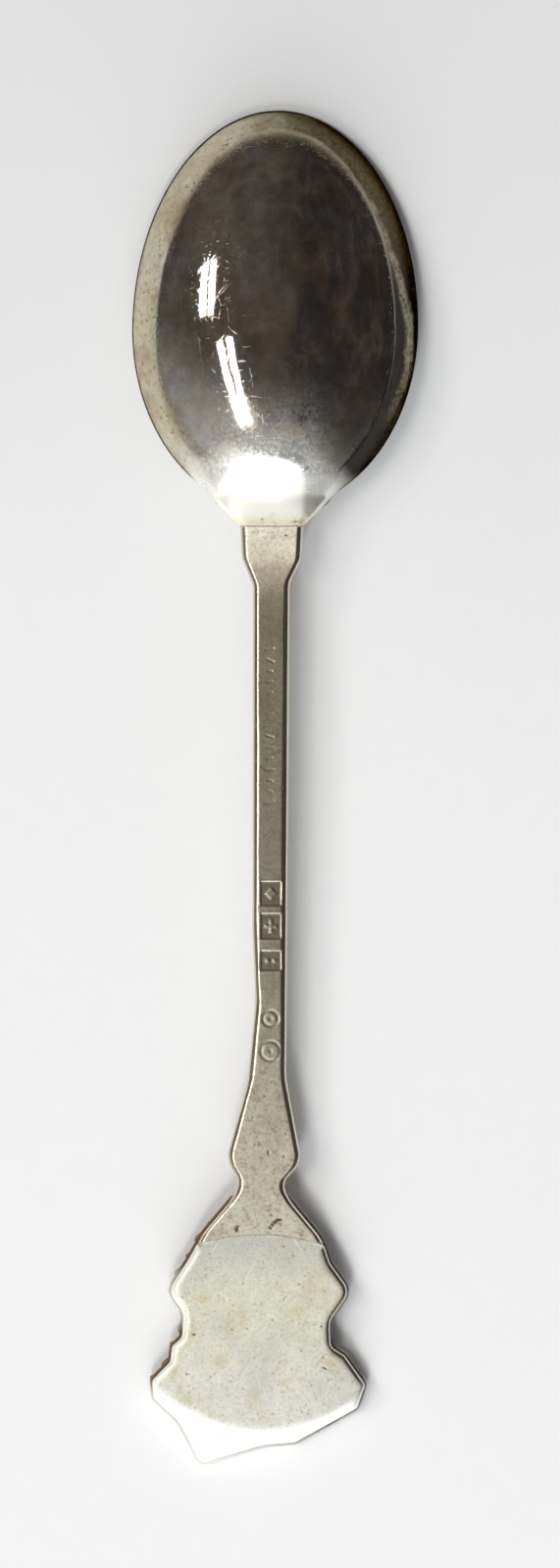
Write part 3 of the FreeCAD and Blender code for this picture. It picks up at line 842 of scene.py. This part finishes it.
def bowl_colors(n, place, y, mottle, blotch, grain):
    """The colours of the clean silver, of its tarnished margin and of the painted shade on the steep right
    side: dark brown toward the tip, near black toward the heel.
    """
    clean = n.coats(
        n.mix(n.span(blotch, 0.38, 0.64), (0.97, 0.96, 0.93), (0.66, 0.57, 0.46)),
        (n.span(mottle, 0.42, 0.70, 0, 0.6), (0.52, 0.47, 0.43)),
        (n.span(grain, 0.46, 0.62, 0, 0.35), (0.60, 0.60, 0.58)),
    )
    tarnish = n.coats(
        n.mix(n.span(mottle, 0.3, 0.7), (0.68, 0.62, 0.46), (0.50, 0.44, 0.29)),
        (n.span(blotch, 0.50, 0.66, 0, 0.6), (0.40, 0.30, 0.17)),
        (n.span(n.noise(place, 1900, 3, 0.6), 0.58, 0.66, 0, 0.7), (0.28, 0.19, 0.10)),
    )
    brown = n.mix(n.span(grain, 0.35, 0.7), (0.17, 0.135, 0.085), (0.06, 0.05, 0.038))
    near_black = n.mix(grain, (0.026, 0.024, 0.022), (0.044, 0.039, 0.035))
    return clean, tarnish, n.mix(n.fade(y, 50, 40), brown, near_black)


def bowl_painted_shade(n, x, y, blotch):
    """Share of the bowl's steep right side that is painted dark as shade, where it mirrors nothing bright."""
    right = n.fade(n.plus(x, n.about_nought(blotch, 0.006)), -5.0, 5.5)
    steep = n.ease(n.parts(n.add("ShaderNodeNewGeometry").outputs["Normal"])[2], 0.735, 0.695)
    return n.times(steep, right, 0.985, n.fade(y, 23.5, 26.5))


def bowl_painted_heel_highlight(n, x, y, grain):
    """How far out a place is in the pale oval painted on the heel as a highlight, 1 at its edge, and the
    share of the pale neck, a painted highlight too, less at its shaded right.
    """
    across = n.chain("DIVIDE", n.minus(x, -0.9 * MM), 4.4 * MM)
    along = n.chain("DIVIDE", n.minus(y, 24.6 * MM), 3.0 * MM)
    away = n.plus(n.times(across, across), n.times(along, along), n.about_nought(grain, 0.5))
    shaded = n.times(n.ramp(x, 2.0, 3.1), n.ramp(y, 22.2, 23.2))
    neck = n.largest(n.ease(away, 1.25, 0.70), n.fade(y, 24.2, 23.0))
    return away, n.times(neck, n.minus(1.0, n.times(shaded, 0.75)))


def bowl_cloud(n, x, y, away, blotch, grain):
    """Share of the dull cloud over the heel, with a halo round the painted highlight."""
    heel = n.times(n.fade(y, 35.5, 26.2), n.fade(x, 5.5, 2.2, 0.15, 1), n.fade(x, -8.5, -4.5, 0.4, 1))
    cloud = n.times(heel, n.span(n.plus(blotch, n.times(grain, 0.8)), 0.64, 1.08))
    halo = n.times(n.ease(away, 3.4, 1.1), n.span(n.plus(grain, blotch), 0.85, 1.15, 0.2, 1))
    return n.largest(cloud, n.fade(y, 27.2, 25.8, 0, 0.8), n.times(halo, 0.9))


def bowl_material():
    """Mirror-bright silver plate with hairlines, pale and dull at the heel and tarnished down its margin. The
    pale heel is a painted highlight, and the steep right side has painted shade.
    """
    material, n, surface, place = new_material("bowl_plate")
    x, y, _ = n.parts(place)
    mottle = n.noise(place, 900, 5, 0.65)
    blotch = n.noise(place, 300, 5, 0.6, 0.4)
    grain = n.noise(place, 3200, 4, 0.7)
    margin, crest, rim_edge = bowl_margin(n, x, y, blotch, grain)
    crest = n.times(crest, n.span(n.plus(grain, mottle), 0.80, 1.12, 0.15, 0.95))
    clean, tarnish, brown = bowl_colors(n, place, y, mottle, blotch, grain)
    dark = bowl_painted_shade(n, x, y, blotch)
    away, neck = bowl_painted_heel_highlight(n, x, y, grain)
    cloud = bowl_cloud(n, x, y, away, blotch, grain)
    specks = n.times(n.span(n.noise(place, 2600, 3, 0.6), 0.62, 0.70), margin)
    color = n.coats(
        clean,
        (n.times(margin, 0.92), tarnish),
        # painted shade: the steep right flank coloured dark brown to near black
        (dark, brown),
        (n.times(crest, 0.8), (0.50, 0.45, 0.33)),
        (n.times(rim_edge, 0.35), (0.22, 0.17, 0.11)),
        (n.times(specks, 0.6), (0.16, 0.12, 0.08)),
        # painted highlight: a pale halo, then the pale oval and neck on the heel
        (n.ease(away, 3.4, 1.3, 0, 0.7), (0.93, 0.94, 0.92)),
        (neck, n.mix(mottle, (0.99, 0.985, 0.93), (0.95, 0.93, 0.83))),
        (n.fade(y, 23.2, 22.1, 0, 0.95), (0.84, 0.78, 0.60)),
        (joint_stain(n, place), STAIN),
        (n.span(n.mark("grime"), 0.12, 0.8, 0, 0.75), (0.22, 0.17, 0.08)),
    )
    n.put(surface["Base Color"], color)
    # the painted shade also dims the specular tint there
    n.put(surface["Specular Tint"], n.mix(dark, (1.0, 0.98, 0.95), (0.10, 0.09, 0.085)))
    # the painted highlight and the cloud are made less metallic, so they show pale
    n.put(surface["Metallic"], n.minus(1.0, n.largest(n.times(cloud, 0.48), n.times(neck, 0.72))))
    short_cuts = scratches(n, place, (8, 52, 97, 140), 4200, 30, 0.68)
    cuts = n.largest(short_cuts, scratches(n, place, (-8, 35, 84), 3800, 110, 0.70))
    haze = n.times(n.span(blotch, 0.35, 0.7, 0.1, 0.6), n.span(grain, 0.4, 0.65))
    rough = n.plus(0.04, n.times(haze, 0.07), n.times(cloud, 0.22))
    rough = n.plus(rough, n.times(margin, 0.16), n.times(cuts, 0.14))
    n.put(surface["Roughness"], n.largest(rough, n.times(neck, 0.42)))
    dents = (n.noise(place, 1400, 3, 0.5), 0.0022)
    n.put(surface["Normal"], n.bumps(dents, (n.times(cuts, -1.0), 0.0007), (n.times(specks, -1.0), 0.01)))
    return material


def stem_look(n, place, shine, mottle, blotch, fine):
    """Brown smooth silver, paler and more spotted toward the finial, and painted pale by the bowl as a
    highlight.
    """
    y = n.parts(place)[1]
    painted_glow_by_bowl = n.fade(y, 14.0, 20.5)
    spots = n.times(n.span(n.noise(place, 1500, 3, 0.6), 0.555, 0.655), n.ramp(y, -19, -27, 0.15, 0.6))
    color = n.coats(
        n.mix(n.fade(y, 10, -6), (1.0, 0.88, 0.62), (0.96, 0.88, 0.71)),
        (n.fade(y, -10, -34), (0.86, 0.83, 0.70)),
        # painted highlight by the bowl
        (n.fade(y, 15.0, 21.4), (0.99, 0.95, 0.80)),
        (n.span(blotch, 0.45, 0.7, 0, 0.5), (0.52, 0.42, 0.27)),
        (n.span(mottle, 0.35, 0.75, 0, 0.5), (0.46, 0.42, 0.33)),
        (spots, (0.33, 0.25, 0.14)),
        (n.span(fine, 0.42, 0.64, 0, 0.38), (0.36, 0.31, 0.22)),
        (n.span(n.noise(place, 2300, 4, 0.7), 0.52, 0.66, 0, 0.5), (0.95, 0.90, 0.74)),
        (joint_stain(n, place), STAIN),
    )
    # darker over the stem, a little less toward the finial, and at full brightness under the painted
    # highlight by the bowl
    tone_with_painted_sheen = n.largest(n.ramp(y, -12, -36, 0.74, 0.96), painted_glow_by_bowl)
    color = n.mix(1.0, color, n.mix(tone_with_painted_sheen, (0, 0, 0), (1, 1, 1)), "MULTIPLY")
    metal = n.minus(n.fade(y, -16, -36, 0.93, 0.52), n.times(painted_glow_by_bowl, 0.72))
    rough = n.plus(n.fade(y, 4, -32, 0.36, 0.44), n.times(painted_glow_by_bowl, 0.08))
    return color, (0.72, 0.66, 0.54), metal, n.times(shine, 0.97), rough


def plate_look(n, place, shine, mottle, blotch, fine):
    """Pale dull silver with tan patches, brown specks and pale scuff strokes, and a paler rolled margin. The
    margin, the far end and the edges on the left are painted pale as highlights.
    """
    x, y, _ = n.parts(place)
    patch = n.noise(place, 140, 5, 0.62, 0.5)
    tan = n.times(n.span(n.noise(place, 420, 4, 0.7, 0.4), 0.53, 0.66), n.ramp(y, -39.5, -42.0, 0.3, 1), 0.45)
    specks = n.span(n.noise(place, 2100, 3, 0.6), 0.655, 0.70, 0, 0.75)
    strokes = scratches(n, place, (-28, -22, 38), 2300, 24, 0.70)
    margin = n.mark("margin")
    color = n.coats(
        (0.76, 0.77, 0.69),
        (n.fade(y, -38.5, -42.5), (0.95, 0.95, 0.79)),
        # painted highlight: paler toward the far end
        (n.fade(y, -45.5, -52.0), (1.0, 0.99, 0.90)),
        (n.span(patch, 0.50, 0.62, 0, 0.5), (0.74, 0.77, 0.72)),
        (n.span(blotch, 0.62, 0.72, 0, 0.4), (0.90, 0.80, 0.54)),
        (n.span(mottle, 0.35, 0.75, 0, 0.45), (0.63, 0.62, 0.53)),
        (n.ramp(y, -42.5, -38.5, 0, 0.12), (0.50, 0.48, 0.42)),
        (n.span(fine, 0.42, 0.64, 0, 0.30), (0.46, 0.43, 0.34)),
        (tan, (0.66, 0.54, 0.28)),
        (specks, (0.36, 0.27, 0.15)),
        (n.times(strokes, 0.65), (1.0, 1.0, 0.98)),
        # painted highlight on the rolled margin
        (margin, (0.97, 0.965, 0.93)),
    )
    # painted highlight: edges on the left and at the far end made pale and less metallic
    painted_lit_side = n.largest(n.ramp(x, -1.0, -4.5), n.ramp(y, -50.0, -52.5))
    edge_color = n.mix(painted_lit_side, (0.72, 0.66, 0.54), (0.99, 0.98, 0.93))
    metal = n.times(n.span(margin, 0, 1, 0.5, 0.2), n.span(n.times(painted_lit_side, shine), 0, 1, 1.0, 0.4))
    polished = n.times(shine, 0.97, n.span(painted_lit_side, 0, 1, 1.0, 0.25))
    return color, edge_color, metal, polished, 0.46


def satin_material(name, look):
    """Satin silver with polished rounded edges, grime in its marks and pits, and fine dots and scratches."""
    material, n, surface, place = new_material(name)
    edge = n.mark("edge")
    shine = n.span(edge, 0.1, 0.7)
    mottle = n.noise(place, 700, 5, 0.65)
    blotch = n.noise(place, 230, 4, 0.6, 0.3)
    fine = n.noise(place, 3800, 3, 0.6)
    color, edge_color, metal, polished, base_rough = look(n, place, shine, mottle, blotch, fine)
    dots = n.span(fine, 0.64, 0.72, 0, 0.55)
    grime = n.span(n.mark("grime"), 0.12, 0.75, 0, 0.95)
    edges = n.span(edge, 0.2, 0.8, 0, 0.8)
    color = n.coats(color, (dots, (0.24, 0.19, 0.12)), (edges, edge_color), (grime, (0.07, 0.05, 0.03)))
    n.put(surface["Base Color"], color)
    n.put(surface["Metallic"], n.largest(metal, polished))
    cuts = scratches(n, place, (20, 62, 118, 155), 3600, 45, 0.66)
    rough = n.plus(base_rough, n.about_nought(mottle, 0.16), n.times(cuts, -0.06))
    n.put(surface["Roughness"], n.minus(rough, n.times(shine, 0.22)))
    relief = (n.noise(place, 2600, 4, 0.6), 0.006)
    n.put(surface["Normal"], n.bumps(relief, (n.times(cuts, -1.0), 0.0015), (n.times(dots, -1.0), 0.012)))
    return material


def solder_material():
    material, n, surface, place = new_material("silver_solder")
    mottle = n.noise(place, 1500, 4, 0.6)
    pits = n.span(n.noise(place, 2600, 3, 0.6), 0.56, 0.64)
    color = n.mix(mottle, (0.66, 0.64, 0.53), (0.52, 0.49, 0.39))
    n.put(surface["Base Color"], n.mix(n.times(pits, 0.45), color, (0.12, 0.09, 0.06)))
    surface["Metallic"].default_value = 0.55
    n.put(surface["Roughness"], n.span(mottle, 0.3, 0.7, 0.38, 0.55))
    n.put(surface["Normal"], n.bumps((n.times(pits, -1.0), 0.01)))
    return material


def struck_material():
    """Brown struck metal with dark hollows, paled by wear at the waist and at the far end, and painted pale
    at the right as a highlight.
    """
    material, n, surface, place = new_material("struck_badge_metal")
    x, y, _ = n.parts(place)
    mottle = n.noise(place, 1100, 5, 0.65)
    open_share = n.add("ShaderNodeAmbientOcclusion", {"Distance": 0.6 * MM}, samples=6).outputs["AO"]
    waist = n.times(n.ramp(y, -40.5, -41.5, 0, 0.85), n.ramp(y, -46.2, -45.0))
    # painted highlight at the right; wear at the waist and the far end
    wear_and_painted_sheen = n.largest(n.fade(x, -3.0, 1.0), n.fade(y, -50.0, -51.5), waist)
    pale = n.times(wear_and_painted_sheen, n.ramp(x, 3.0, -2.0))
    tone_with_painted_sheen = n.mix(wear_and_painted_sheen, n.mix(mottle, (0.44, 0.33, 0.19), (0.24, 0.16, 0.09)), (0.93, 0.915, 0.86))
    n.put(surface["Base Color"], n.mix(n.span(open_share, 0.25, 0.85), (0.10, 0.06, 0.03), tone_with_painted_sheen))
    n.put(surface["Metallic"], n.span(pale, 0, 1, 0.9, 0.25))
    n.put(surface["Roughness"], n.span(mottle, 0.3, 0.7, 0.26, 0.46))
    n.put(surface["Normal"], n.bumps((n.noise(place, 2400, 4, 0.6), 0.01)))
    return material


def enamel_material(name, deep, light):
    """Vitreous enamel: glossy, a little cloudy, with tiny bubbles and a slightly uneven surface."""
    material, n, surface, place = new_material(name)
    cloud = n.noise(place, 420, 4, 0.6, 0.6)
    bubble = n.span(n.noise(place, 5200, 2, 0.5), 0.70, 0.76)
    color = n.mix(n.span(cloud, 0.3, 0.7), deep, light)
    n.put(surface["Base Color"], n.mix(n.times(bubble, 0.4), color, (0.9, 0.9, 0.88)))
    n.put(surface["Roughness"], n.span(cloud, 0.3, 0.7, 0.07, 0.16))
    surface["Coat Weight"].default_value = 0.6
    surface["Coat Roughness"].default_value = 0.06
    n.put(surface["Normal"], n.bumps((n.noise(place, 700, 3, 0.5), 0.01)))
    return material


def floor_material():
    material, n, surface, place = new_material("pale_card")
    color = n.mix(n.noise(place, 500, 3, 0.5), (0.85, 0.855, 0.862), (0.88, 0.884, 0.888))
    # painted shade: the card darkens toward +Y, beyond the bowl's tip and away from the window
    painted_falloff_by_tip = n.fade(n.parts(place)[1], -10, 75)
    n.put(surface["Base Color"], n.mix(painted_falloff_by_tip, color, (0.79, 0.797, 0.81)))
    surface["Roughness"].default_value = 0.85
    surface["Specular IOR Level"].default_value = 0.2
    n.put(surface["Normal"], n.bumps((n.noise(place, 1800, 4, 0.6), 0.01), strength=0.5))
    return material


# ---------------------------------------------------------------- pieces with their materials

build_bowl().data.materials.append(bowl_material())
build_stem().data.materials.append(satin_material("stem_satin", stem_look))
build_plate().data.materials.append(satin_material("plate_satin", plate_look))
solder = solder_material()
build_bowl_solder().data.materials.append(solder)
build_finial_solder().data.materials.append(solder)
build_badge().data.materials.append(struck_material())

ENAMELS = {
    "enamel_ribbon": ((0.36, 0.02, 0.02), (0.50, 0.04, 0.03)),
    "enamel_lake": ((0.01, 0.10, 0.34), (0.05, 0.22, 0.50)),
    "enamel_meadow": ((0.02, 0.17, 0.05), (0.08, 0.30, 0.10)),
    "enamel_mountain": ((0.13, 0.16, 0.21), (0.26, 0.29, 0.34)),
    "enamel_snow": ((0.78, 0.80, 0.82), (0.88, 0.88, 0.87)),
}
for node, (deep, light) in ENAMELS.items():
    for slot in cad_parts[node].material_slots:
        slot.material = enamel_material(node + "_glass", deep, light)

# ---------------------------------------------------------------- floor, lights and camera, in metres

FLOOR_HALF, FLOOR_SINK = 3.0, 0.00005
floor_mesh = bpy.data.meshes.new("floor")
corners = [(x * FLOOR_HALF, y * FLOOR_HALF, 0) for x, y in ((-1, -1), (1, -1), (1, 1), (-1, 1))]
floor_mesh.from_pydata(corners, [], [(0, 1, 2, 3)])
floor = bpy.data.objects.new("floor", floor_mesh)
floor.location.z = -FLOOR_SINK
bpy.context.collection.objects.link(floor)
floor_mesh.materials.append(floor_material())


def area_light(name, width, height, watts, color):
    data = bpy.data.lights.new(name, "AREA")
    data.shape = "RECTANGLE"
    data.size, data.size_y = width, height
    data.energy = watts
    data.color = color
    lamp = bpy.data.objects.new(name, data)
    bpy.context.collection.objects.link(lamp)
    lamp.visible_camera = False
    return lamp


def softbox(name, direction, distance, width, height, watts, color, mirrored=False):
    """A light that faces the spoon from a direction. One that isn't mirrored only falls on matt surfaces."""
    lamp = area_light(name, width, height, watts, color)
    toward = Vector(direction).normalized()
    lamp.location = toward * distance
    lamp.rotation_mode = "QUATERNION"
    lamp.rotation_quaternion = (-toward).to_track_quat("-Z", "Y")
    lamp.visible_glossy = mirrored
    return lamp


def tube_light(name, start, end, distance, width, watts, color):
    """A pair of long thin tubes that run between two directions, seen from the bowl."""
    start, end = Vector(start).normalized(), Vector(end).normalized()
    middle, run = (start + end).normalized(), (end - start).normalized()
    across = run.cross(middle).normalized()
    for side in (-1, 1):
        lamp = area_light(f"{name}_{side}", width, (end - start).length * distance, watts, color)
        place = Vector(rim_middle) * MM + middle * distance + across * side * width * 0.80
        facing = Matrix((across, run, across.cross(run))).transposed()
        lamp.matrix_world = Matrix.Translation(place) @ facing.to_4x4()


DAY, SKY = (0.955, 0.978, 1.0), (0.90, 0.95, 1.0)
WARM, CEILING = (1.0, 0.96, 0.91), (1.0, 0.985, 0.965)
window = softbox("window", (-0.075, -0.85, 0.32), 0.90, 0.88, 0.84, 5.8, DAY, mirrored=True)
window.data.shape = "ELLIPSE"
softbox("shadow_key", (-0.13, -0.62, 0.78), 0.9, 0.16, 0.16, 2.0, DAY)
softbox("overhead_fill", (0.0, 0.1, 1.0), 1.2, 2.2, 2.2, 2.6, SKY)
tube_light("tube_far", (-0.610, 0.470, 0.649), (-0.634, 0.248, 0.726), 1.2, 0.075, 0.75, WARM)
tube_light("tube_near", (-0.491, 0.132, 0.880), (-0.275, -0.451, 0.833), 1.2, 0.075, 1.3, WARM)
softbox("ceiling_glow", (-0.52, 0.03, 0.85), 1.2, 0.30, 0.75, 3.6, CEILING)


def build_world():
    """A dim brown room for the metal to mirror, darker at the right and paler beyond the finial.

    The camera itself sees a pale backdrop behind the floor.
    """
    world = bpy.data.worlds.new("room")
    world.use_nodes = True
    bpy.context.scene.world = world
    n = Nodes(world.node_tree)
    background = world.node_tree.nodes["Background"].inputs
    toward = n.add("ShaderNodeTexCoord").outputs["Generated"]
    x, y, _ = n.parts(toward)
    patch = n.noise(toward, 2.6, 3, 0.5, 0.5)
    cloth = n.noise(toward, 5.5, 4, 0.6, 0.8)
    right = n.ease(n.plus(x, n.about_nought(patch, 0.9)), -0.25, 0.35)
    past_finial = n.ease(n.plus(n.times(x, 0.45), y), -0.15, -0.75)
    color = n.coats(
        n.mix(right, (0.085, 0.076, 0.066), (0.026, 0.023, 0.023)),
        (n.span(cloth, 0.45, 0.68, 0, 0.45), (0.105, 0.080, 0.058)),
        (n.span(cloth, 0.50, 0.36, 0, 0.4), (0.035, 0.033, 0.034)),
        (n.times(past_finial, 0.8), (0.30, 0.30, 0.28)),
        (n.add("ShaderNodeLightPath").outputs["Is Camera Ray"], (0.86, 0.87, 0.88)),
    )
    n.put(background["Color"], color)
    background["Strength"].default_value = 1.0


build_world()

VIEW_HEIGHT = 0.1325  # what the picture's height takes in, at the spoon
CAMERA_HEIGHT, SPOON_HEIGHT = 0.55, 0.0035
SENSOR = 36.0
camera_data = bpy.data.cameras.new("camera")
camera_data.sensor_width = SENSOR
camera_data.lens = SENSOR * (CAMERA_HEIGHT - SPOON_HEIGHT) / VIEW_HEIGHT
camera_data.clip_start, camera_data.clip_end = 0.01, 20.0
camera = bpy.data.objects.new("camera", camera_data)
camera.location = (0.00041, 0.00025, CAMERA_HEIGHT)
bpy.context.collection.objects.link(camera)
bpy.context.scene.camera = camera
bpy.context.scene.view_settings.view_transform = "Standard"
